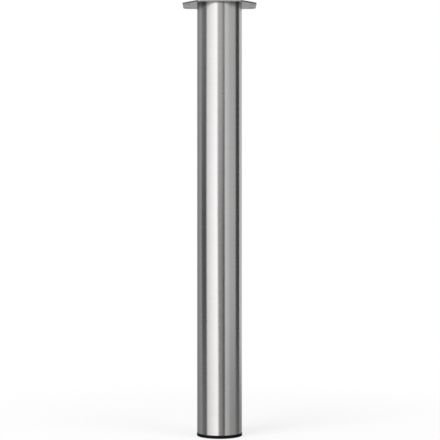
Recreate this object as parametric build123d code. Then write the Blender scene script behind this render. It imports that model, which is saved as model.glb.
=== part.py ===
"""Round table leg with a screw-on top plate and a levelling foot.

Millimetres, +Z up. The origin is on the floor, under the middle of the tube.
The plate's cut corners face -Y, the front of the leg.
"""

from build123d import *
import math
import os

# Leg and tube
LEG_HEIGHT = 730.0  # floor to the underside of the table top, foot screwed in
TUBE_DIAMETER = 76.0
TUBE_WALL = 1.5
TUBE_EDGE = 0.3  # chamfer on the outer edge of each end

# Top plate
PLATE_WIDTH = 124.5
PLATE_DEPTH = 86.0
PLATE_THICKNESS = 2.5
PLATE_CUT_WIDTH = 27.0  # front corner cut, along X
PLATE_CUT_DEPTH = 31.0  # front corner cut, along Y
PLATE_CUT_RADIUS = 3.0
PLATE_BACK_RADIUS = 10.0
PLATE_EDGE = 0.3
SCREW_SIDE = 8.0  # hole's middle to the plate's side
SCREW_BACK = 14.0  # back hole's middle to the plate's back
SCREW_SPACING_Y = 34.0
SCREW_HOLE = 5.5
SCREW_SINK = 8.5  # countersink on the underside
SINK_ANGLE = 90.0

# Thread, nuts and stud
THREAD_DIAMETER = 10.0
THREAD_CLEARANCE = 0.05  # radial, screw to nut
THREAD_LEAD_IN = 1.0
NUT_SIDES = 6
NUT_WIDTH = 17.0  # across flats
NUT_HEIGHT = 8.0
NUT_CHAMFER_ANGLE = 30.0
NUT_CLEARANCE = 0.05
STUD_COLLAR = 14.0  # weld collar, diameter at the plate
STUD_COLLAR_HEIGHT = 2.5
STUD_PROUD = 5.0  # past the inner end of the top insert

# Moulded inserts
INSERT_LENGTH = 40.0
INSERT_CLEARANCE = 0.02  # radial, to the tube's bore
INSERT_END_WALL = 4.0
INSERT_WALL = 3.0
CRUSH_COUNT = 12  # small ribs that grip the tube's bore
CRUSH_DEPTH = 0.8
CRUSH_WIDTH = 3.0
RIB_COUNT = 6
RIB_THICKNESS = 3.0
RIB_SETBACK = 4.0  # ribs end below the hub's inner end
BORE_CLEARANCE = 0.5  # radial, screw to insert
COLLAR_CLEARANCE = 0.5

# Levelling foot
FOOT_TRAVEL = 15.0
FOOT_GAP = 0.3  # pad to tube, foot screwed in
PAD_HEIGHT = 5.0
PAD_PROUD = 0.3  # radial, past the tube
PAD_BOTTOM_EDGE = 0.7
PAD_TOP_EDGE = 0.4
GROOVE_RADIUS = 26.0  # inner side of the groove under the pad
GROOVE_WIDTH = 3.0
GROOVE_DEPTH = 1.0
HEAD_DIAMETER = 18.0
HEAD_HEIGHT = 4.0
HEAD_FLOOR = 4.0  # pad under the spindle's head
HEAD_CLEARANCE = 0.05
BOSS_WALL = 3.0
BOSS_ROOF = 3.5  # pad above the spindle's head
BOSS_CLEARANCE = 1.0  # radial, to the bottom insert
BOSS_EDGE = 1.0
SPINDLE_RESERVE = 5.0  # thread left above the nut with the foot screwed out

TOLERANCE = 1e-6  # levels closer than this are the same

# Levels and radii that follow from the sizes above
TUBE_RADIUS = TUBE_DIAMETER / 2
BORE_RADIUS = TUBE_RADIUS - TUBE_WALL
THREAD_RADIUS = THREAD_DIAMETER / 2
TUBE_BOTTOM = PAD_HEIGHT + FOOT_GAP
TUBE_TOP = LEG_HEIGHT - PLATE_THICKNESS
HEAD_TOP = HEAD_FLOOR + HEAD_HEIGHT
BOSS_RADIUS = HEAD_DIAMETER / 2 + BOSS_WALL
BOSS_TOP = HEAD_TOP + BOSS_ROOF
POCKET_RADIUS = BOSS_RADIUS + BOSS_CLEARANCE
POCKET_TOP = BOSS_TOP + FOOT_GAP
HUB_RADIUS = POCKET_RADIUS + INSERT_WALL
FOOT_NUT_TOP = POCKET_TOP + NUT_HEIGHT
SPINDLE_TOP = FOOT_NUT_TOP + FOOT_TRAVEL + SPINDLE_RESERVE
TOP_INSERT_END = TUBE_TOP - INSERT_LENGTH


def post(radius, low, high):
    """Upright cylinder on the leg's axis, between two levels."""
    base = (Align.CENTER, Align.CENTER, Align.MIN)
    return Pos(0, 0, low) * Cylinder(radius, high - low, align=base)


def ring(outer, inner, low, high):
    """Upright ring on the leg's axis, between two levels."""
    return post(outer, low, high) - post(inner, low, high)


def spoke(inner, outer, width, low, high):
    """Upright slab along +X, between two distances from the leg's axis and two levels."""
    base = (Align.MIN, Align.CENTER, Align.MIN)
    return Pos(inner, 0, low) * Box(outer - inner, width, high - low, align=base)


def corner_radius(flats):
    """Radius to the corners of a hexagon, given across its flats."""
    return flats / 2 / math.cos(math.pi / NUT_SIDES)


def hexagon(flats, low, high):
    """Upright hexagonal prism, given across its flats."""
    return Pos(0, 0, low) * extrude(RegularPolygon(corner_radius(flats), NUT_SIDES), high - low)


def rims(solid, level):
    """Circular edges of a solid at one level."""
    return [edge for edge in solid.edges().filter_by(GeomType.CIRCLE)
            if math.isclose(edge.center().Z, level, abs_tol=TOLERANCE)]


def leg_tube():
    """Drawn tube with both ends deburred."""
    outer = post(TUBE_RADIUS, TUBE_BOTTOM, TUBE_TOP)
    outer = chamfer(rims(outer, TUBE_BOTTOM) + rims(outer, TUBE_TOP), TUBE_EDGE)
    return outer - post(BORE_RADIUS, TUBE_BOTTOM, TUBE_TOP)


def plate_outline():
    """Flat outline of the plate: straight back, long cuts at the front corners."""
    half_width = PLATE_WIDTH / 2
    half_depth = PLATE_DEPTH / 2
    cut_x = half_width - PLATE_CUT_WIDTH
    cut_y = PLATE_CUT_DEPTH - half_depth
    right = [(cut_x, -half_depth), (half_width, cut_y), (half_width, half_depth)]
    left = [(-x, y) for x, y in reversed(right)]
    outline = make_face(Polyline(right + left, close=True))
    outline = fillet(outline.vertices().group_by(Axis.Y)[-1], PLATE_BACK_RADIUS)
    cut_corners = [corner for corner in outline.vertices() if corner.Y < cut_y + PLATE_CUT_RADIUS]
    return fillet(cut_corners, PLATE_CUT_RADIUS)


def top_plate():
    """Flat plate with four screw holes, countersunk from below."""
    plate = Pos(0, 0, TUBE_TOP) * extrude(plate_outline(), PLATE_THICKNESS)
    faces = plate.faces().sort_by(Axis.Z)
    plate = chamfer(faces[0].edges() + faces[-1].edges(), PLATE_EDGE)
    sink_depth = (SCREW_SINK - SCREW_HOLE) / 2 / math.tan(math.radians(SINK_ANGLE / 2))
    hole = post(SCREW_HOLE / 2, TUBE_TOP, LEG_HEIGHT)
    sink = Pos(0, 0, TUBE_TOP) * Cone(
        SCREW_SINK / 2, SCREW_HOLE / 2, sink_depth, align=(Align.CENTER, Align.CENTER, Align.MIN)
    )
    spacing_x = PLATE_WIDTH - 2 * SCREW_SIDE
    middle_y = PLATE_DEPTH / 2 - SCREW_BACK - SCREW_SPACING_Y / 2
    return plate - Pos(0, middle_y, 0) * GridLocations(spacing_x, SCREW_SPACING_Y, 2, 2) * (hole + sink)


def plate_stud():
    """Threaded stud hanging from the plate, with its weld collar."""
    tip = TOP_INSERT_END - STUD_PROUD
    shank = post(THREAD_RADIUS, tip, TUBE_TOP)
    shank = chamfer(rims(shank, tip), THREAD_LEAD_IN)
    collar = Pos(0, 0, TUBE_TOP - STUD_COLLAR_HEIGHT) * Cone(
        THREAD_RADIUS, STUD_COLLAR / 2, STUD_COLLAR_HEIGHT, align=(Align.CENTER, Align.CENTER, Align.MIN)
    )
    return shank + collar


def nut(low):
    """Hexagon nut with chamfered corners and a plain bore."""
    corner = corner_radius(NUT_WIDTH)
    blank = post(corner, low, low + NUT_HEIGHT)
    setback = corner - NUT_WIDTH / 2
    drop = setback * math.tan(math.radians(NUT_CHAMFER_ANGLE))
    for level in (low, low + NUT_HEIGHT):
        face = blank.faces().filter_by(GeomType.PLANE).sort_by_distance((0, 0, level))[0]
        blank = chamfer(rims(blank, level), setback, drop, reference=face)
    body = blank & hexagon(NUT_WIDTH, low, low + NUT_HEIGHT)
    return body - post(THREAD_RADIUS + THREAD_CLEARANCE, low, low + NUT_HEIGHT)


def nut_pocket(low, high):
    """Room for a nut in a moulded insert."""
    return hexagon(NUT_WIDTH + 2 * NUT_CLEARANCE, low, high)


def insert_blank(outer_end, inward):
    """Moulded insert: end wall, skirt with crush ribs, and a hub carried by ribs.

    The end wall is flush with the tube's end at outer_end. inward is +1 where the insert
    reaches up into the tube and -1 where it reaches down.
    """
    def span(make, radii, start, stop):
        low, high = sorted(outer_end + inward * level for level in (start, stop))
        return make(*radii, low, high)

    fit_radius = BORE_RADIUS - INSERT_CLEARANCE
    skirt_radius = fit_radius - CRUSH_DEPTH
    skirt_middle = skirt_radius - INSERT_WALL / 2
    body = span(post, [fit_radius], 0, INSERT_END_WALL)
    body += span(ring, [skirt_radius, skirt_radius - INSERT_WALL], 0, INSERT_LENGTH)
    body += span(post, [HUB_RADIUS], 0, INSERT_LENGTH)
    crush = span(spoke, [skirt_middle, TUBE_RADIUS, CRUSH_WIDTH], 0, INSERT_LENGTH)
    crush &= span(post, [fit_radius], 0, INSERT_LENGTH)
    body += PolarLocations(0, CRUSH_COUNT) * crush
    rib_end = INSERT_LENGTH - RIB_SETBACK
    rib = span(spoke, [HUB_RADIUS - INSERT_WALL / 2, skirt_middle, RIB_THICKNESS], 0, rib_end)
    body += PolarLocations(0, RIB_COUNT) * rib
    return body - span(post, [THREAD_RADIUS + BORE_CLEARANCE], 0, INSERT_LENGTH)


def top_insert():
    """Upper insert: room for the weld collar above, nut pocket open below."""
    body = insert_blank(TUBE_TOP, -1)
    collar_room = post(
        STUD_COLLAR / 2 + COLLAR_CLEARANCE, TUBE_TOP - STUD_COLLAR_HEIGHT - COLLAR_CLEARANCE, TUBE_TOP
    )
    return body - collar_room - nut_pocket(TOP_INSERT_END, TOP_INSERT_END + NUT_HEIGHT)


def bottom_insert():
    """Lower insert: pocket for the foot's boss, and above it the nut pocket."""
    body = insert_blank(TUBE_BOTTOM, 1)
    return body - post(POCKET_RADIUS, TUBE_BOTTOM, POCKET_TOP) - nut_pocket(POCKET_TOP, FOOT_NUT_TOP)


def foot_spindle():
    """Levelling screw with a round head, held in the foot pad."""
    shank = post(THREAD_RADIUS, HEAD_FLOOR, SPINDLE_TOP)
    shank = chamfer(rims(shank, SPINDLE_TOP), THREAD_LEAD_IN)
    return shank + post(HEAD_DIAMETER / 2, HEAD_FLOOR, HEAD_TOP)


def foot_pad():
    """Moulded foot: round pad a little wider than the tube, with a boss round the spindle's head."""
    pad = post(TUBE_RADIUS + PAD_PROUD, 0, PAD_HEIGHT)
    pad = chamfer(rims(pad, 0), PAD_BOTTOM_EDGE)
    pad = chamfer(rims(pad, PAD_HEIGHT), PAD_TOP_EDGE)
    boss = post(BOSS_RADIUS, 0, BOSS_TOP)
    pad += chamfer(rims(boss, BOSS_TOP), BOSS_EDGE)
    pad -= ring(GROOVE_RADIUS + GROOVE_WIDTH, GROOVE_RADIUS, 0, GROOVE_DEPTH)
    pad -= post(HEAD_DIAMETER / 2 + HEAD_CLEARANCE, HEAD_FLOOR - HEAD_CLEARANCE, HEAD_TOP + HEAD_CLEARANCE)
    return pad - post(THREAD_RADIUS + HEAD_CLEARANCE, HEAD_TOP, BOSS_TOP)


PIECES = {
    "leg_tube": leg_tube(),
    "top_plate": top_plate(),
    "plate_stud": plate_stud(),
    "top_insert": top_insert(),
    "top_nut": nut(TOP_INSERT_END),
    "bottom_insert": bottom_insert(),
    "foot_nut": nut(POCKET_TOP),
    "foot_spindle": foot_spindle(),
    "foot_pad": foot_pad(),
}

os.makedirs("parts", exist_ok=True)
for name, piece in PIECES.items():
    export_step(piece, f"parts/{name}.step")
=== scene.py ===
import math
from collections import namedtuple

import bmesh
import bpy
from bpy.props import FloatProperty, FloatVectorProperty, IntProperty, PointerProperty
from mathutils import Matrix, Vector


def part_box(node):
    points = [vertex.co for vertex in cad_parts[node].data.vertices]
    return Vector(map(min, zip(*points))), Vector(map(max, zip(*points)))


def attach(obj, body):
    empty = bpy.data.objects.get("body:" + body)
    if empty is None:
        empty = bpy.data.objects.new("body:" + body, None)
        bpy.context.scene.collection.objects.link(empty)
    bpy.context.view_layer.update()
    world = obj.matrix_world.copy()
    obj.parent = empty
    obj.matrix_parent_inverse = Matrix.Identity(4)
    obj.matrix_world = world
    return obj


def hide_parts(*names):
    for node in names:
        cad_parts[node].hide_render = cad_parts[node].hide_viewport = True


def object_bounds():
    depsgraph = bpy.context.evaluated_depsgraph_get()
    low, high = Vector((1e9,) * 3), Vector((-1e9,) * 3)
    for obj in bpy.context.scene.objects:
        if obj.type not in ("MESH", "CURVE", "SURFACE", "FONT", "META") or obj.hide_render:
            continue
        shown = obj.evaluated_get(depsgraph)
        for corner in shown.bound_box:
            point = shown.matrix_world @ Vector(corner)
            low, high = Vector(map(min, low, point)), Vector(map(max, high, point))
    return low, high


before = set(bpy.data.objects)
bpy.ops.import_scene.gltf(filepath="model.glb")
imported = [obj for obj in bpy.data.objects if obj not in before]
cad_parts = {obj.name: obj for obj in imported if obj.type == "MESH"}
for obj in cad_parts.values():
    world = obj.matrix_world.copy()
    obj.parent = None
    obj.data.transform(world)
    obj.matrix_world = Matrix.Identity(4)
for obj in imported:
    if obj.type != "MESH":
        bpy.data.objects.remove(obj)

bl_info = {
    "name": "Table Leg Finish",
    "version": (1, 0, 0),
    "blender": (4, 5, 0),
    "location": "3D View > Sidebar > Table Leg",
    "description": "Finishes a round steel table leg with a levelling foot and sets its studio",
    "category": "Object",
}

# Sizes taken from the frame, in metres
CAD_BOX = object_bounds()
TUBE_LOW, TUBE_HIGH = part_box("leg_tube")
PAD_LOW, PAD_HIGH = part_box("foot_pad")
SPINDLE_LOW, SPINDLE_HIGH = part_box("foot_spindle")
STUD_LOW, STUD_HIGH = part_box("plate_stud")
TUBE_RADIUS = (TUBE_HIGH.x - TUBE_LOW.x) / 2
PAD_RADIUS = (PAD_HIGH.x - PAD_LOW.x) / 2
HEAD_RADIUS = (SPINDLE_HIGH.x - SPINDLE_LOW.x) / 2
COLLAR_RADIUS = (STUD_HIGH.x - STUD_LOW.x) / 2
LEG_MIDDLE = (CAD_BOX[0] + CAD_BOX[1]) / 2

WHITE = (1.0, 1.0, 1.0, 1.0)
MERGE_DISTANCE = 1e-7  # points closer than this become one
SHARP_ANGLE = math.radians(40)
ARC_STEPS = 5  # faces along a rounded edge
GRAIN_ROUND_AXIS = 0.25  # quarter turn, which lays the brushing round the tube
NOISE_DETAIL = 3.0
NOISE_MEAN = 0.5

# Sockets of a Mix node that is set to colours
MIX_FACTOR, MIX_FIRST, MIX_SECOND = 0, 6, 7
MIX_RESULT = 2

# Thread through one turn, as shares of its pitch and of its depth
THREAD_PROFILE = ((0.0, 0.0), (0.25, 0.0), (0.56, 1.0), (0.69, 1.0))
THREAD_SPARE = 3  # turns beyond the length, which both ends cut off

# Cards round the leg, seen only in reflections, from left to right and edge to edge. upper and lower are
# the azimuths of a card's right edge in its upper and lower half, in degrees from the camera's side. left
# and right are the light at its two edges, and head and foot are the shares of that light at its top and
# bottom.
Card = namedtuple("Card", "name upper lower left right head foot")
BACK_EDGE = -166
CARDS = (
    Card("back_left", -105, -99, 0.20, 0.33, 1.1, 0.88),
    Card("left_flag", -70, -67, 0.10, 0.052, 2.3, 1.9),
    Card("key_box", -10.5, -5.5, 0.76, 1.27, 1.0, 0.92),
    Card("camera_side", 14, 14, 0.29, 0.25, 1.8, 1.0),
    Card("camera_line", 26, 28, 0.14, 0.03, 2.6, 1.25),
    Card("fill_box", 56, 56, 0.70, 0.47, 1.0, 0.75),
    Card("fill_edge", 90, 90, 0.47, 0.43, 1.0, 0.62),
    Card("right_flag", 120.5, 120.5, 0.07, 0.03, 1.2, 2.9),
    Card("rim_box", 166, 166, 0.56, 0.60, 1.0, 0.42),
)
CARD_COLUMNS = 12
CARD_FOOT = (-6.0, -0.27)  # heights between which a card has its foot's light
CARD_MIDDLE = (-0.02, 0.35)
CARD_HEAD = (1.0, 6.0)


# Shader maths

class Value:
    """One output socket of a shader tree. Arithmetic with it adds Math nodes."""

    def __init__(self, tree, socket):
        self.tree = tree
        self.socket = socket

    def math(self, operation, first, second):
        """Result of a new Math node."""
        return self.tree.add("ShaderNodeMath", {"operation": operation}, {0: first, 1: second})[0]

    def __add__(self, other):
        return self.math("ADD", self, other)

    def __radd__(self, other):
        return self.math("ADD", other, self)

    def __sub__(self, other):
        return self.math("SUBTRACT", self, other)

    def __rsub__(self, other):
        return self.math("SUBTRACT", other, self)

    def __mul__(self, other):
        return self.math("MULTIPLY", self, other)

    def __rmul__(self, other):
        return self.math("MULTIPLY", other, self)


class Made:
    """A node that was just added, indexed by its outputs."""

    def __init__(self, tree, node):
        self.tree = tree
        self.node = node

    def __getitem__(self, output):
        return Value(self.tree, self.node.outputs[output])


class Shader:
    """Node tree of a material or world."""

    def __init__(self, owner):
        owner.use_nodes = True
        self.tree = owner.node_tree
        self.tree.nodes.clear()

    def add(self, kind, settings=None, inputs=None):
        """Adds a node, sets its settings, then its sockets' values or links."""
        node = self.tree.nodes.new(kind)
        for name, value in (settings or {}).items():
            setattr(node, name, value)
        for key, value in (inputs or {}).items():
            if isinstance(value, Value):
                self.tree.links.new(value.socket, node.inputs[key])
            else:
                node.inputs[key].default_value = value
        return Made(self, node)

    def place(self):
        """Coordinates on the piece, in metres."""
        return self.add("ShaderNodeTexCoord")["Object"]

    def noise(self, *size):
        """Noise from 0 to 1, with the size of its cells in metres, one for all axes or one for each."""
        scale = tuple(1 / edge for edge in (size if len(size) == 3 else size * 3))
        cells = self.add("ShaderNodeVectorMath", {"operation": "MULTIPLY"}, {0: self.place(), 1: scale})[0]
        inputs = {"Vector": cells, "Scale": 1.0, "Detail": NOISE_DETAIL}
        return self.add("ShaderNodeTexNoise", {}, inputs)["Fac"]

    def mix(self, factor, first, second):
        """Blend of two colours."""
        inputs = {MIX_FACTOR: factor, MIX_FIRST: first, MIX_SECOND: second}
        return self.add("ShaderNodeMix", {"data_type": "RGBA"}, inputs)[MIX_RESULT]

    def tone(self, factor, colour, spread):
        """A colour that goes from darker to lighter by a spread on either side."""
        return self.mix(factor, tinted(colour, 1 - spread), tinted(colour, 1 + spread))

    def bump(self, height, depth):
        """Normal of a surface raised by a height from 0 to 1, with its depth in metres."""
        return self.add("ShaderNodeBump", {}, {"Height": height, "Distance": depth})["Normal"]

    def seen(self):
        """1 for a ray from the camera, a reflection or glass, and 0 for one that carries light."""
        rays = self.add("ShaderNodeLightPath")
        return rays["Is Camera Ray"] + rays["Is Glossy Ray"] + rays["Is Transmission Ray"]

    def layer(self, factor, first, second):
        """Blend of two shaders."""
        return self.add("ShaderNodeMixShader", {}, {0: factor, 1: first, 2: second})[0]

    def surface(self, **sockets):
        """Principled surface as the material's output. Socket names have _ for a space."""
        inputs = {name.replace("_", " "): value for name, value in sockets.items()}
        self.output(self.add("ShaderNodeBsdfPrincipled", {}, inputs)["BSDF"])

    def output(self, shade, kind="ShaderNodeOutputMaterial"):
        """Ends the tree in a shader."""
        self.add(kind, {}, {"Surface": shade})


# Sums and shapes

def tinted(colour, share=1.0):
    """A colour made lighter or darker, with its alpha."""
    return (*(channel * share for channel in colour), 1.0)


def shared(first, second, share):
    """Two values in one, with the second's share."""
    return first * (1 - share) + second * share


def polar(radius, angle, height):
    """Point at an angle round the leg's axis."""
    return (radius * math.cos(angle), radius * math.sin(angle), height)


def rounded(corners):
    """Outline through (radius, height, rounding) corners, each turned by an arc of that rounding."""
    outline = []
    for index, (radius, height, rounding) in enumerate(corners):
        corner = Vector((radius, height))
        if rounding == 0:
            outline.append(corner)
            continue
        before = (Vector(corners[index - 1][:2]) - corner).normalized()
        after = (Vector(corners[(index + 1) % len(corners)][:2]) - corner).normalized()
        half = before.angle(after) / 2
        reach = rounding / math.tan(half)
        centre = corner + (before + after).normalized() * (rounding / math.sin(half))
        start = (corner + before * reach - centre).normalized()
        stop = (corner + after * reach - centre).normalized()
        outline += [centre + rounding * start.slerp(stop, step / ARC_STEPS) for step in range(ARC_STEPS + 1)]
    return outline


def lathe(mesh, outline, segments, closed=True):
    """Adds an outline of (radius, height) points, turned round the leg's axis, to a bmesh."""
    rings = []
    for segment in range(segments):
        angle = 2 * math.pi * segment / segments
        rings.append([mesh.verts.new(polar(radius, angle, height)) for radius, height in outline])
    for here, there in zip(rings, rings[1:] + rings[:1]):
        for index in range(len(outline) if closed else len(outline) - 1):
            after = (index + 1) % len(outline)
            mesh.faces.new((here[index], there[index], there[after], here[after]))


def thread(mesh, low, high, fixing):
    """Adds a thread on the leg's axis to a bmesh. It runs out at both ends, which are open rings."""
    turns = math.ceil((high - low) / fixing.pitch) + THREAD_SPARE
    spiral = []  # starts one turn below the low end
    for step in range(turns * fixing.columns):
        turn = step / fixing.columns
        line = []
        for phase, share in THREAD_PROFILE:
            level = low + (turn + phase - 1) * fixing.pitch
            level = min(max(level, low), high)
            height = min(share * fixing.depth, level - low, high - level)
            line.append(mesh.verts.new(polar(fixing.root() + height, 2 * math.pi * turn, level)))
        spiral.append(line)
    for step in range(len(spiral) - fixing.columns - 1):
        here = spiral[step] + spiral[step + fixing.columns][:1]
        there = spiral[step + 1] + spiral[step + fixing.columns + 1][:1]
        for index in range(len(THREAD_PROFILE)):
            mesh.faces.new((here[index], there[index], there[index + 1], here[index + 1]))


def finish_piece(mesh, name, material, body, node):
    """Turns a bmesh into a closed piece that rides on a body and stands for a CAD node."""
    bmesh.ops.remove_doubles(mesh, verts=mesh.verts, dist=MERGE_DISTANCE)
    bmesh.ops.dissolve_degenerate(mesh, edges=mesh.edges, dist=MERGE_DISTANCE)
    bmesh.ops.delete(mesh, geom=[vert for vert in mesh.verts if not vert.link_faces], context="VERTS")
    bmesh.ops.holes_fill(mesh, edges=[edge for edge in mesh.edges if edge.is_boundary], sides=0)
    bmesh.ops.recalc_face_normals(mesh, faces=mesh.faces)
    data = bpy.data.meshes.new(name)
    mesh.to_mesh(data)
    mesh.free()
    data.shade_smooth()
    data.set_sharp_from_angle(angle=SHARP_ANGLE)
    data.materials.append(material)
    piece = bpy.data.objects.new(name, data)
    bpy.context.scene.collection.objects.link(piece)
    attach(piece, body)
    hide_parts(node)


def finish_node(name, material):
    """Gives a CAD node its material."""
    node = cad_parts[name]
    node.data.materials.clear()
    node.data.materials.append(material)


# Finishes

def new_material(name):
    """A material and its empty tree."""
    material = bpy.data.materials.new(name)
    return material, Shader(material)


def brushed_tube_steel(finish):
    """Satin steel, brushed round the tube."""
    material, shader = new_material("brushed_tube_steel")
    line = shader.noise(finish.grain_length, finish.grain_length, finish.grain_width)
    streak = shader.noise(finish.grain_length, finish.grain_length, finish.streak_width)
    cloud = shader.noise(finish.cloud_size)
    grain = shared(line, streak, finish.streak_share)
    shader.surface(
        Base_Color=shader.tone(shared(grain, cloud, finish.cloud_share), finish.colour, finish.colour_spread),
        Metallic=1.0,
        Roughness=finish.roughness + (grain - NOISE_MEAN) * finish.roughness_spread,
        Anisotropic=finish.anisotropy,
        Anisotropic_Rotation=GRAIN_ROUND_AXIS,
        Normal=shader.bump(line, finish.grain_depth),
    )
    return material


def rolled_plate_steel(finish):
    """Plain satin sheet steel with a faint rolling grain along X. Its upright side faces carry a painted
    highlight, a lighter colour that stands in for the light the plate's front edge catches.
    """
    material, shader = new_material("rolled_plate_steel")
    grain = shader.noise(finish.grain_length, finish.grain_width, finish.grain_length)
    cloud = shader.noise(finish.cloud_size)
    mottle = shared(grain, cloud, finish.cloud_share)
    face = shader.tone(mottle, finish.colour, finish.colour_spread)
    # Painted highlight: lighter colour for the upright side faces, standing in for the light on the plate's
    # front edge
    edge = shader.tone(mottle, finish.edge_colour, finish.colour_spread / 2)
    normal = shader.add("ShaderNodeNewGeometry")["True Normal"]
    upright = shader.add("ShaderNodeSeparateXYZ", {}, {0: normal})["Z"]
    shader.surface(
        # Upright side faces take the painted highlight colour, the flat faces the plain steel colour
        Base_Color=shader.mix(upright * upright, edge, face),
        Metallic=1.0,
        Specular_Tint=tinted(finish.grazing_tint),
        Roughness=finish.roughness + (cloud - NOISE_MEAN) * finish.roughness_spread,
        Normal=shader.bump(grain, finish.grain_depth),
    )
    return material


def zinc_plate(fixing):
    """Bright zinc plating with a fine crystal mottle."""
    material, shader = new_material("zinc_plate")
    mottle = shader.noise(fixing.crystal_size)
    shader.surface(
        Base_Color=shader.tone(mottle, fixing.zinc, fixing.zinc_spread),
        Metallic=1.0,
        Roughness=fixing.roughness + (mottle - NOISE_MEAN) * fixing.roughness_spread,
    )
    return material


def moulded_plastic(name, colour, finish):
    """Dark plastic with a fine moulded grain."""
    material, shader = new_material(name)
    grain = shader.noise(finish.grain_width)
    cloud = shader.noise(finish.cloud_size)
    shader.surface(
        Base_Color=shader.tone(shared(grain, cloud, finish.cloud_share), colour, finish.colour_spread),
        Roughness=finish.roughness + (cloud - NOISE_MEAN) * finish.roughness_spread,
        Specular_IOR_Level=finish.gloss,
        Normal=shader.bump(grain, finish.grain_depth),
    )
    return material


# Settings

class TubeFinish(bpy.types.PropertyGroup):
    """Shape and brushed finish of the tube"""

    colour: FloatVectorProperty(
        name="Colour", description="Colour of the steel",
        subtype="COLOR", size=3, min=0.0, max=1.0, default=(0.806, 0.794, 0.790))
    colour_spread: FloatProperty(
        name="Colour spread", description="Change of colour over the grain",
        subtype="FACTOR", min=0.0, max=1.0, default=0.12)
    roughness: FloatProperty(
        name="Roughness", description="Mean roughness of the brushed face",
        subtype="FACTOR", min=0.0, max=1.0, default=0.23)
    roughness_spread: FloatProperty(
        name="Roughness spread", description="Change of roughness over the grain",
        subtype="FACTOR", min=0.0, max=1.0, default=0.14)
    anisotropy: FloatProperty(
        name="Anisotropy", description="How much the brushing draws out reflections",
        subtype="FACTOR", min=0.0, max=1.0, default=0.75)
    grain_width: FloatProperty(
        name="Grain width", description="Width of one brushed line",
        unit="LENGTH", precision=5, min=0.0, default=0.0004)
    grain_length: FloatProperty(
        name="Grain length", description="Length of one brushed line",
        unit="LENGTH", min=0.0, default=0.030)
    grain_depth: FloatProperty(
        name="Grain depth", description="Depth of one brushed line",
        unit="LENGTH", precision=6, min=0.0, default=4e-6)
    streak_width: FloatProperty(
        name="Streak width", description="Width of a band of like lines",
        unit="LENGTH", precision=5, min=0.0, default=0.0033)
    cloud_size: FloatProperty(
        name="Cloud size", description="Size of the soft changes of tone",
        unit="LENGTH", min=0.0, default=0.080)
    streak_share: FloatProperty(
        name="Streak share", description="Share of the streaks in the grain",
        subtype="FACTOR", min=0.0, max=1.0, default=0.4)
    cloud_share: FloatProperty(
        name="Cloud share", description="Share of the clouds in the colour",
        subtype="FACTOR", min=0.0, max=1.0, default=0.3)
    wall: FloatProperty(
        name="Wall", description="Thickness of the tube's wall",
        unit="LENGTH", precision=5, min=0.0, default=0.0015)
    lip: FloatProperty(
        name="Lip", description="Rounding of the tube's ends",
        unit="LENGTH", precision=5, min=0.0, default=0.0003)
    segments: IntProperty(
        name="Segments", description="Faces round the tube",
        min=3, default=192)


class PlateFinish(bpy.types.PropertyGroup):
    """Finish of the fixing plate"""

    colour: FloatVectorProperty(
        name="Colour", description="Colour of the dull faces",
        subtype="COLOR", size=3, min=0.0, max=1.0, default=(0.42, 0.42, 0.42))
    # Painted highlight: lighter colour of the plate's upright side faces, standing in for the light on its
    # front edge
    edge_colour: FloatVectorProperty(
        name="Edge colour", description="Colour of the cut edges",
        subtype="COLOR", size=3, min=0.0, max=1.0, default=(0.66, 0.66, 0.66))
    colour_spread: FloatProperty(
        name="Colour spread", description="Change of colour over the faces",
        subtype="FACTOR", min=0.0, max=1.0, default=0.22)
    grazing_tint: FloatVectorProperty(
        name="Grazing tint", description="Tint of the sheen at a low angle",
        subtype="COLOR", size=3, min=0.0, max=1.0, default=(0.5, 0.5, 0.5))
    roughness: FloatProperty(
        name="Roughness", description="Mean roughness of the plate",
        subtype="FACTOR", min=0.0, max=1.0, default=0.24)
    roughness_spread: FloatProperty(
        name="Roughness spread", description="Change of roughness over the faces",
        subtype="FACTOR", min=0.0, max=1.0, default=0.08)
    grain_width: FloatProperty(
        name="Grain width", description="Width of one rolled line",
        unit="LENGTH", precision=5, min=0.0, default=0.0004)
    grain_length: FloatProperty(
        name="Grain length", description="Length of one rolled line",
        unit="LENGTH", min=0.0, default=0.017)
    grain_depth: FloatProperty(
        name="Grain depth", description="Depth of the rolling grain",
        unit="LENGTH", precision=6, min=0.0, default=6e-6)
    cloud_size: FloatProperty(
        name="Cloud size", description="Size of the soft changes of tone",
        unit="LENGTH", min=0.0, default=0.033)
    cloud_share: FloatProperty(
        name="Cloud share", description="Share of the clouds in the colour",
        subtype="FACTOR", min=0.0, max=1.0, default=0.5)


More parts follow.
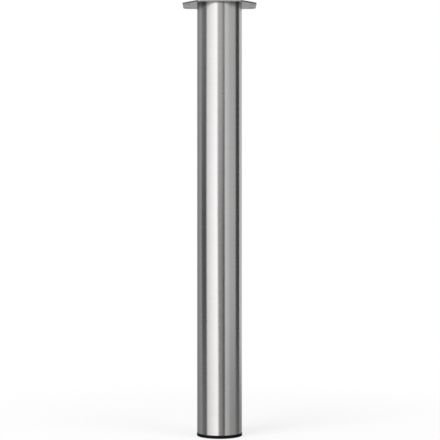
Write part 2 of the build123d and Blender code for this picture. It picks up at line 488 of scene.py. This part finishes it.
class FootFinish(bpy.types.PropertyGroup):
    """Shape and moulded finish of the foot pad"""

    colour: FloatVectorProperty(
        name="Colour", description="Colour of the plastic",
        subtype="COLOR", size=3, min=0.0, max=1.0, default=(0.004, 0.004, 0.004))
    colour_spread: FloatProperty(
        name="Colour spread", description="Change of colour over the plastic",
        subtype="FACTOR", min=0.0, max=1.0, default=0.22)
    roughness: FloatProperty(
        name="Roughness", description="Mean roughness of the plastic",
        subtype="FACTOR", min=0.0, max=1.0, default=0.55)
    roughness_spread: FloatProperty(
        name="Roughness spread", description="Change of roughness over the plastic",
        subtype="FACTOR", min=0.0, max=1.0, default=0.1)
    gloss: FloatProperty(
        name="Gloss", description="Strength of the plastic's reflections",
        subtype="FACTOR", min=0.0, max=1.0, default=0.15)
    grain_width: FloatProperty(
        name="Grain width", description="Size of one moulded grain",
        unit="LENGTH", precision=5, min=0.0, default=0.0005)
    grain_depth: FloatProperty(
        name="Grain depth", description="Depth of the moulded grain",
        unit="LENGTH", precision=6, min=0.0, default=2e-5)
    cloud_size: FloatProperty(
        name="Cloud size", description="Size of the soft changes of tone",
        unit="LENGTH", min=0.0, default=0.022)
    cloud_share: FloatProperty(
        name="Cloud share", description="Share of the clouds in the colour",
        subtype="FACTOR", min=0.0, max=1.0, default=0.5)
    rim_height: FloatProperty(
        name="Rim height", description="Height of the pad's rim",
        unit="LENGTH", precision=5, min=0.0, default=0.005)
    bottom_round: FloatProperty(
        name="Bottom rounding", description="Rounding of the lower edge",
        unit="LENGTH", precision=5, min=0.0, default=0.0008)
    top_round: FloatProperty(
        name="Top rounding", description="Rounding of the upper edges",
        unit="LENGTH", precision=5, min=0.0, default=0.0004)
    soft_round: FloatProperty(
        name="Soft rounding", description="Rounding of the groove and the bore",
        unit="LENGTH", precision=5, min=0.0, default=0.0002)
    groove_radius: FloatProperty(
        name="Groove radius", description="Inner side of the groove below",
        unit="LENGTH", min=0.0, default=0.026)
    groove_width: FloatProperty(
        name="Groove width", description="Width of the groove below",
        unit="LENGTH", min=0.0, default=0.003)
    groove_depth: FloatProperty(
        name="Groove depth", description="Depth of the groove below",
        unit="LENGTH", min=0.0, default=0.001)
    boss_radius: FloatProperty(
        name="Boss radius", description="Outer radius of the boss",
        unit="LENGTH", min=0.0, default=0.012)
    boss_round: FloatProperty(
        name="Boss rounding", description="Rounding of the boss's top edge",
        unit="LENGTH", min=0.0, default=0.001)
    screw_gap: FloatProperty(
        name="Screw gap", description="Room round the spindle",
        unit="LENGTH", precision=6, min=0.0, default=5e-5)


class FixingFinish(bpy.types.PropertyGroup):
    """Thread and finish of the spindle, the stud, the nuts and the inserts"""

    radius: FloatProperty(
        name="Radius", description="Outer radius of the thread",
        unit="LENGTH", precision=5, min=0.0, default=0.005)
    pitch: FloatProperty(
        name="Pitch", description="Rise of the thread in one turn",
        unit="LENGTH", precision=5, min=0.0, default=0.0015)
    depth: FloatProperty(
        name="Depth", description="Depth of the thread",
        unit="LENGTH", precision=5, min=0.0, default=0.0009)
    columns: IntProperty(
        name="Columns", description="Faces round one turn",
        min=3, default=72)
    head_height: FloatProperty(
        name="Head height", description="Height of the spindle's head",
        unit="LENGTH", precision=5, min=0.0, default=0.004)
    head_round: FloatProperty(
        name="Head rounding", description="Rounding of the head's edges",
        unit="LENGTH", precision=5, min=0.0, default=0.0003)
    collar_height: FloatProperty(
        name="Collar height", description="Height of the stud's weld collar",
        unit="LENGTH", precision=5, min=0.0, default=0.0025)
    zinc: FloatVectorProperty(
        name="Zinc", description="Colour of the plating",
        subtype="COLOR", size=3, min=0.0, max=1.0, default=(0.66, 0.67, 0.69))
    zinc_spread: FloatProperty(
        name="Zinc spread", description="Change of colour over the crystals",
        subtype="FACTOR", min=0.0, max=1.0, default=0.12)
    roughness: FloatProperty(
        name="Roughness", description="Mean roughness of the plating",
        subtype="FACTOR", min=0.0, max=1.0, default=0.34)
    roughness_spread: FloatProperty(
        name="Roughness spread", description="Change of roughness over the crystals",
        subtype="FACTOR", min=0.0, max=1.0, default=0.16)
    crystal_size: FloatProperty(
        name="Crystal size", description="Size of one zinc crystal",
        unit="LENGTH", precision=5, min=0.0, default=0.0011)
    insert_colour: FloatVectorProperty(
        name="Insert colour", description="Colour of the inserts' plastic",
        subtype="COLOR", size=3, min=0.0, max=1.0, default=(0.03, 0.03, 0.03))

    def root(self):
        """Radius at the bottom of the thread."""
        return self.radius - self.depth


class Studio(bpy.types.PropertyGroup):
    """Floor, light, reflection cards and camera"""

    camera_distance: FloatProperty(
        name="Camera distance", description="Camera to the leg's axis",
        unit="LENGTH", min=0.0, default=2.25)
    camera_height: FloatProperty(
        name="Camera height", description="Camera above the floor",
        unit="LENGTH", min=0.0, default=0.376)
    focal_length: FloatProperty(
        name="Focal length", description="Focal length of the camera",
        unit="CAMERA", min=1.0, default=108.8)
    shift_x: FloatProperty(
        name="Shift across", description="Camera shift that frames the leg",
        precision=4, default=0.0010)
    shift_y: FloatProperty(
        name="Shift up", description="Camera shift that frames the leg",
        precision=4, default=-0.0160)
    key_place: FloatVectorProperty(
        name="Key place", description="Middle of the key lamp",
        subtype="TRANSLATION", size=3, default=(-1.5, -1.6, 1.5))
    key_power: FloatProperty(
        name="Key power", description="Power of the key lamp",
        unit="POWER", min=0.0, default=42.0)
    fill_place: FloatVectorProperty(
        name="Fill place", description="Middle of the fill lamp",
        subtype="TRANSLATION", size=3, default=(1.7, -1.3, 1.2))
    fill_power: FloatProperty(
        name="Fill power", description="Power of the fill lamp",
        unit="POWER", min=0.0, default=22.0)
    lamp_size: FloatProperty(
        name="Lamp size", description="Side of each square lamp",
        unit="LENGTH", min=0.0, default=1.4)
    ambient: FloatProperty(
        name="Ambient", description="Even light from all round",
        subtype="FACTOR", min=0.0, max=1.0, default=0.5)
    floor_colour: FloatVectorProperty(
        name="Floor colour", description="Colour of the floor",
        subtype="COLOR", size=3, min=0.0, max=1.0, default=(0.96, 0.96, 0.96))
    floor_glow: FloatProperty(
        name="Floor glow", description="Share of plain white in the floor at the foot",
        subtype="FACTOR", min=0.0, max=1.0, default=0.7)
    floor_reach: FloatProperty(
        name="Floor reach", description="Foot to the floor's edge",
        unit="LENGTH", min=0.0, default=30.0)
    floor_gap: FloatProperty(
        name="Floor gap", description="Room between the floor and the foot",
        unit="LENGTH", precision=5, min=0.0, default=0.0002)
    shadow_reach: FloatProperty(
        name="Shadow reach", description="Distance at which the floor is all white",
        unit="LENGTH", min=0.0, default=0.8)
    card_radius: FloatProperty(
        name="Card radius", description="Distance of the reflection cards",
        unit="LENGTH", min=0.0, default=1.6)


class LegSettings(bpy.types.PropertyGroup):
    """All settings of the leg and its studio"""

    tube: PointerProperty(name="Tube", description="Shape and finish of the tube", type=TubeFinish)
    plate: PointerProperty(name="Plate", description="Finish of the fixing plate", type=PlateFinish)
    foot: PointerProperty(name="Foot", description="Shape and finish of the foot pad", type=FootFinish)
    fixing: PointerProperty(name="Fixings", description="Thread and finish of the fixings", type=FixingFinish)
    studio: PointerProperty(name="Studio", description="Floor, light and camera", type=Studio)


# Studio

def white_world(scene, studio):
    """Plain white to the camera, reflections and glass, and an even light to the rest."""
    world = bpy.data.worlds.new("white_world")
    scene.world = world
    shader = Shader(world)
    even = shader.add("ShaderNodeBackground", {}, {"Color": WHITE, "Strength": studio.ambient})[0]
    white = shader.add("ShaderNodeBackground", {}, {"Color": WHITE, "Strength": 1.0})[0]
    shader.output(shader.layer(shader.seen(), even, white), "ShaderNodeOutputWorld")


def stage_piece(name, vertices, faces, material):
    """A mesh of the studio, not part of the leg."""
    data = bpy.data.meshes.new(name)
    data.from_pydata(vertices, [], faces)
    data.materials.append(material)
    piece = bpy.data.objects.new(name, data)
    bpy.context.scene.collection.objects.link(piece)
    return piece


def pale_floor(studio):
    """Floor that is white to the camera, keeps the leg's shadow and can be looked through from below.

    It goes down with the spindle, so that it stays under the foot. Only the camera sees it, and the
    world's even light stands for the light that it would throw back.
    """
    material, shader = new_material("pale_floor")
    distance = shader.add("ShaderNodeVectorMath", {"operation": "LENGTH"}, {0: shader.place()})["Value"]
    glow = shader.add("ShaderNodeMapRange", {"interpolation_type": "SMOOTHSTEP"}, {
        "Value": distance,
        "From Min": PAD_RADIUS,
        "From Max": studio.shadow_reach,
        "To Min": studio.floor_glow,
        "To Max": 1.0,
    })["Result"]
    matt = shader.add("ShaderNodeBsdfDiffuse", {}, {"Color": tinted(studio.floor_colour)})[0]
    white = shader.add("ShaderNodeEmission", {}, {"Color": WHITE, "Strength": 1.0})[0]
    clear = shader.add("ShaderNodeBsdfTransparent", {}, {"Color": WHITE})[0]
    below = shader.add("ShaderNodeNewGeometry")["Backfacing"]
    shader.output(shader.layer(below, shader.layer(shader.seen() * glow, matt, white), clear))
    reach = studio.floor_reach
    level = PAD_LOW.z - studio.floor_gap
    corners = [(-reach, -reach, level), (reach, -reach, level), (reach, reach, level), (-reach, reach, level)]
    floor = stage_piece("pale_floor", corners, [(0, 1, 2, 3)], material)
    floor.visible_diffuse = False
    floor.visible_glossy = False
    floor.visible_shadow = False
    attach(floor, "spindle")


def card_grid(card, upper_start, lower_start, radius):
    """Points, light and faces of a curved card, whose left edge begins at two azimuths."""
    rows = [(height, card.foot) for height in CARD_FOOT]
    rows += [(height, 1.0) for height in CARD_MIDDLE]
    rows += [(height, card.head) for height in CARD_HEAD]
    points, levels, faces = [], [], []
    for column in range(CARD_COLUMNS + 1):
        across = column / CARD_COLUMNS
        for height, strength in rows:
            raised = (height - CARD_FOOT[1]) / (CARD_MIDDLE[1] - CARD_FOOT[1])
            raised = min(max(raised, 0.0), 1.0)
            start = shared(lower_start, upper_start, raised)
            stop = shared(card.lower, card.upper, raised)
            angle = math.radians(shared(start, stop, across)) - math.pi / 2
            points.append(polar(radius, angle, height))
            levels.append(shared(card.left, card.right, across) * strength)
    for column in range(CARD_COLUMNS):
        for row in range(len(rows) - 1):
            here = column * len(rows) + row
            after = here + len(rows)
            faces.append((here, after, after + 1, here + 1))
    return points, levels, faces


def reflection_cards(studio):
    """Upright cards round the leg that show only in reflections."""
    material, shader = new_material("card_light")
    level = shader.add("ShaderNodeAttribute", {"attribute_name": "level"})["Fac"]
    shader.output(shader.add("ShaderNodeEmission", {}, {"Color": level, "Strength": 1.0})[0])
    material.cycles.emission_sampling = "NONE"  # cards are mirrored and light nothing
    upper, lower = BACK_EDGE, BACK_EDGE
    for card in CARDS:
        points, levels, faces = card_grid(card, upper, lower, studio.card_radius)
        piece = stage_piece("card_" + card.name, points, faces, material)
        piece.data.attributes.new("level", "FLOAT", "POINT").data.foreach_set("value", levels)
        piece.visible_camera = False
        piece.visible_diffuse = False
        piece.visible_shadow = False
        upper, lower = card.upper, card.lower


def soft_lamp(name, place, size, power):
    """Large soft lamp aimed at the middle of the leg."""
    light = bpy.data.lights.new(name, "AREA")
    light.size = size
    light.energy = power
    lamp = bpy.data.objects.new(name, light)
    lamp.location = place
    lamp.rotation_euler = (LEG_MIDDLE - lamp.location).to_track_quat("-Z", "Y").to_euler()
    lamp.visible_glossy = False
    bpy.context.scene.collection.objects.link(lamp)


def photo_camera(scene, studio):
    """Level camera in front of the leg, about half way up."""
    camera = bpy.data.objects.new("photo_camera", bpy.data.cameras.new("photo_camera"))
    camera.location = (0, -studio.camera_distance, studio.camera_height)
    camera.rotation_euler = (math.pi / 2, 0, 0)
    camera.data.lens = studio.focal_length
    camera.data.shift_x = studio.shift_x
    camera.data.shift_y = studio.shift_y
    scene.collection.objects.link(camera)
    scene.camera = camera


# Steps and panel

class TABLE_LEG_OT_tube(bpy.types.Operator):
    """Turn the tube with rounded ends and brush it"""

    bl_idname = "table_leg.tube"
    bl_label = "Tube"
    bl_options = {"REGISTER", "UNDO"}

    def execute(self, context):
        finish = context.scene.table_leg.tube
        bore = TUBE_RADIUS - finish.wall
        mesh = bmesh.new()
        lathe(mesh, rounded([
            (TUBE_RADIUS, TUBE_LOW.z, finish.lip),
            (TUBE_RADIUS, TUBE_HIGH.z, finish.lip),
            (bore, TUBE_HIGH.z, 0),
            (bore, TUBE_LOW.z, 0),
        ]), finish.segments)
        finish_piece(mesh, "brushed_tube", brushed_tube_steel(finish), "leg", "leg_tube")
        return {"FINISHED"}


class TABLE_LEG_OT_plate(bpy.types.Operator):
    """Finish the fixing plate"""

    bl_idname = "table_leg.plate"
    bl_label = "Fixing plate"
    bl_options = {"REGISTER", "UNDO"}

    def execute(self, context):
        finish_node("top_plate", rolled_plate_steel(context.scene.table_leg.plate))
        return {"FINISHED"}


class TABLE_LEG_OT_foot(bpy.types.Operator):
    """Mould the foot pad with rounded edges"""

    bl_idname = "table_leg.foot"
    bl_label = "Foot pad"
    bl_options = {"REGISTER", "UNDO"}

    def execute(self, context):
        settings = context.scene.table_leg
        finish = settings.foot
        bore = settings.fixing.radius + finish.screw_gap
        head = HEAD_RADIUS + finish.screw_gap
        head_low = SPINDLE_LOW.z - finish.screw_gap
        head_high = SPINDLE_LOW.z + settings.fixing.head_height + finish.screw_gap
        groove_outer = finish.groove_radius + finish.groove_width
        groove_top = PAD_LOW.z + finish.groove_depth
        mesh = bmesh.new()
        lathe(mesh, rounded([
            (0, PAD_LOW.z, 0),
            (finish.groove_radius, PAD_LOW.z, finish.soft_round),
            (finish.groove_radius, groove_top, 0),
            (groove_outer, groove_top, 0),
            (groove_outer, PAD_LOW.z, finish.soft_round),
            (PAD_RADIUS, PAD_LOW.z, finish.bottom_round),
            (PAD_RADIUS, finish.rim_height, finish.top_round),
            (finish.boss_radius, finish.rim_height, finish.top_round),
            (finish.boss_radius, PAD_HIGH.z, finish.boss_round),
            (bore, PAD_HIGH.z, finish.soft_round),
            (bore, head_high, 0),
            (head, head_high, 0),
            (head, head_low, 0),
            (0, head_low, 0),
        ]), settings.tube.segments)
        plastic = moulded_plastic("foot_plastic", finish.colour, finish)
        finish_piece(mesh, "moulded_foot", plastic, "foot", "foot_pad")
        return {"FINISHED"}


class TABLE_LEG_OT_screws(bpy.types.Operator):
    """Cut the threads of the spindle and the stud, and plate them and their nuts"""

    bl_idname = "table_leg.screws"
    bl_label = "Screws and nuts"
    bl_options = {"REGISTER", "UNDO"}

    def execute(self, context):
        fixing = context.scene.table_leg.fixing
        zinc = zinc_plate(fixing)

        spindle = bmesh.new()
        head_high = SPINDLE_LOW.z + fixing.head_height
        thread(spindle, head_high, SPINDLE_HIGH.z, fixing)
        lathe(spindle, rounded([
            (fixing.root(), head_high, 0),
            (HEAD_RADIUS, head_high, fixing.head_round),
            (HEAD_RADIUS, SPINDLE_LOW.z, fixing.head_round),
            (0, SPINDLE_LOW.z, 0),
        ]), fixing.columns, closed=False)
        finish_piece(spindle, "threaded_spindle", zinc, "spindle", "foot_spindle")

        stud = bmesh.new()
        collar_low = STUD_HIGH.z - fixing.collar_height
        thread(stud, STUD_LOW.z, collar_low, fixing)
        lathe(stud, rounded([
            (fixing.root(), collar_low, 0),
            (fixing.radius, collar_low, 0),
            (COLLAR_RADIUS, STUD_HIGH.z, 0),
            (0, STUD_HIGH.z, 0),
        ]), fixing.columns, closed=False)
        finish_piece(stud, "threaded_stud", zinc, "leg", "plate_stud")

        for node in ("top_nut", "foot_nut"):
            finish_node(node, zinc)
        return {"FINISHED"}


class TABLE_LEG_OT_inserts(bpy.types.Operator):
    """Finish the moulded inserts in the tube's two ends"""

    bl_idname = "table_leg.inserts"
    bl_label = "Inserts"
    bl_options = {"REGISTER", "UNDO"}

    def execute(self, context):
        settings = context.scene.table_leg
        plastic = moulded_plastic("insert_plastic", settings.fixing.insert_colour, settings.foot)
        for node in ("top_insert", "bottom_insert"):
            finish_node(node, plastic)
        return {"FINISHED"}


class TABLE_LEG_OT_studio(bpy.types.Operator):
    """Set the floor, the light, the reflection cards and the camera"""

    bl_idname = "table_leg.studio"
    bl_label = "Studio"
    bl_options = {"REGISTER", "UNDO"}

    def execute(self, context):
        studio = context.scene.table_leg.studio
        white_world(context.scene, studio)
        pale_floor(studio)
        reflection_cards(studio)
        soft_lamp("key_lamp", studio.key_place, studio.lamp_size, studio.key_power)
        soft_lamp("fill_lamp", studio.fill_place, studio.lamp_size, studio.fill_power)
        photo_camera(context.scene, studio)
        context.scene.view_settings.view_transform = "Standard"
        return {"FINISHED"}


STEPS = (
    TABLE_LEG_OT_tube,
    TABLE_LEG_OT_plate,
    TABLE_LEG_OT_foot,
    TABLE_LEG_OT_screws,
    TABLE_LEG_OT_inserts,
    TABLE_LEG_OT_studio,
)


class TABLE_LEG_PT_sidebar(bpy.types.Panel):
    """Steps that finish the leg, and their settings"""

    bl_idname = "TABLE_LEG_PT_sidebar"
    bl_label = "Table Leg"
    bl_space_type = "VIEW_3D"
    bl_region_type = "UI"
    bl_category = "Table Leg"

    def draw(self, context):
        for step in STEPS:
            self.layout.operator(step.bl_idname)
        settings = context.scene.table_leg
        for name in LegSettings.__annotations__:
            group = getattr(settings, name)
            box = self.layout.box()
            box.label(text=LegSettings.bl_rna.properties[name].name)
            for setting in type(group).__annotations__:
                box.prop(group, setting)


CLASSES = (
    TubeFinish, PlateFinish, FootFinish, FixingFinish, Studio, LegSettings, *STEPS, TABLE_LEG_PT_sidebar,
)


def register():
    for cls in CLASSES:
        bpy.utils.register_class(cls)
    bpy.types.Scene.table_leg = PointerProperty(
        name="Table leg", description="Settings of the leg and its studio", type=LegSettings)


def unregister():
    del bpy.types.Scene.table_leg
    for cls in reversed(CLASSES):
        bpy.utils.unregister_class(cls)


def main():
    register()
    bpy.ops.table_leg.tube()
    bpy.ops.table_leg.plate()
    bpy.ops.table_leg.foot()
    bpy.ops.table_leg.screws()
    bpy.ops.table_leg.inserts()
    bpy.ops.table_leg.studio()


if __name__ == "__main__":
    main()
